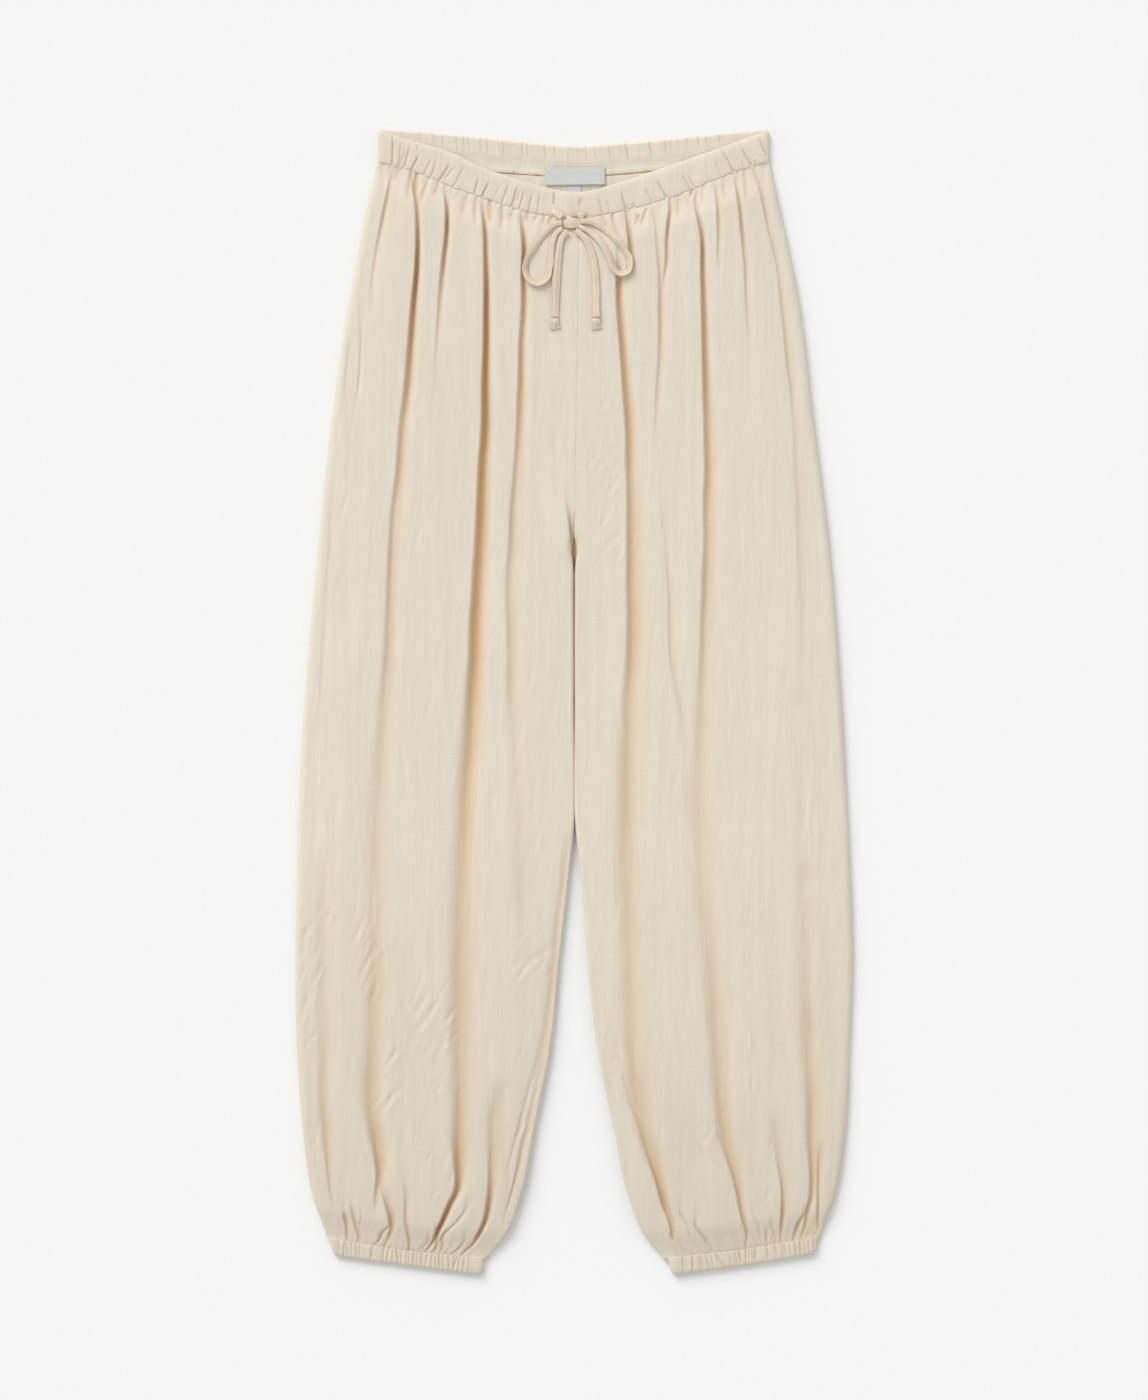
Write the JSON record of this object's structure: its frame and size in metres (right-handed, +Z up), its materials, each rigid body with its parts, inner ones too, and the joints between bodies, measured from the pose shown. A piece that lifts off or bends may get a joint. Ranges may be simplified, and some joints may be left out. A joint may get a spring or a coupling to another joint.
{
  "type": "harem trousers",
  "caption": "Harem trousers laid flat, with gathered balloon legs, an elastic waistband, narrow elastic cuffs and a drawstring tied in a bow.",
  "frame": {"origin": "bottom centre of the box, on the surface that the trousers lie on", "axes": "+Y from the cuffs to the waist, +X towards the wearer's left leg, +Z up out of the front"},
  "size_m": [0.4798, 0.9872, 0.0168],
  "materials": {
    "cream_cloth": "lightweight crinkled viscose, plain weave",
    "cream_tie": "flat tie of the same cloth",
    "white_label": "woven label tape"
  },
  "bodies": {
    "root": {"front_panel_right": "cream_cloth", "front_panel_left": "cream_cloth", "back_panel_right": "cream_cloth", "back_panel_left": "cream_cloth", "waistband_front": "cream_cloth", "waistband_back": "cream_cloth", "cuff_front_right": "cream_cloth", "cuff_front_left": "cream_cloth", "cuff_back_right": "cream_cloth", "cuff_back_left": "cream_cloth", "drawstring_knot": "cream_tie", "drawstring_strand_right": "cream_tie", "drawstring_strand_left": "cream_tie", "drawstring_loop_right": "cream_tie", "drawstring_loop_left": "cream_tie", "drawstring_tail_right": "cream_tie", "drawstring_tail_left": "cream_tie", "drawstring_end_knot_right": "cream_tie", "drawstring_end_knot_left": "cream_tie", "label_main": "white_label", "label_size": "white_label"}
  },
  "joints": []
}
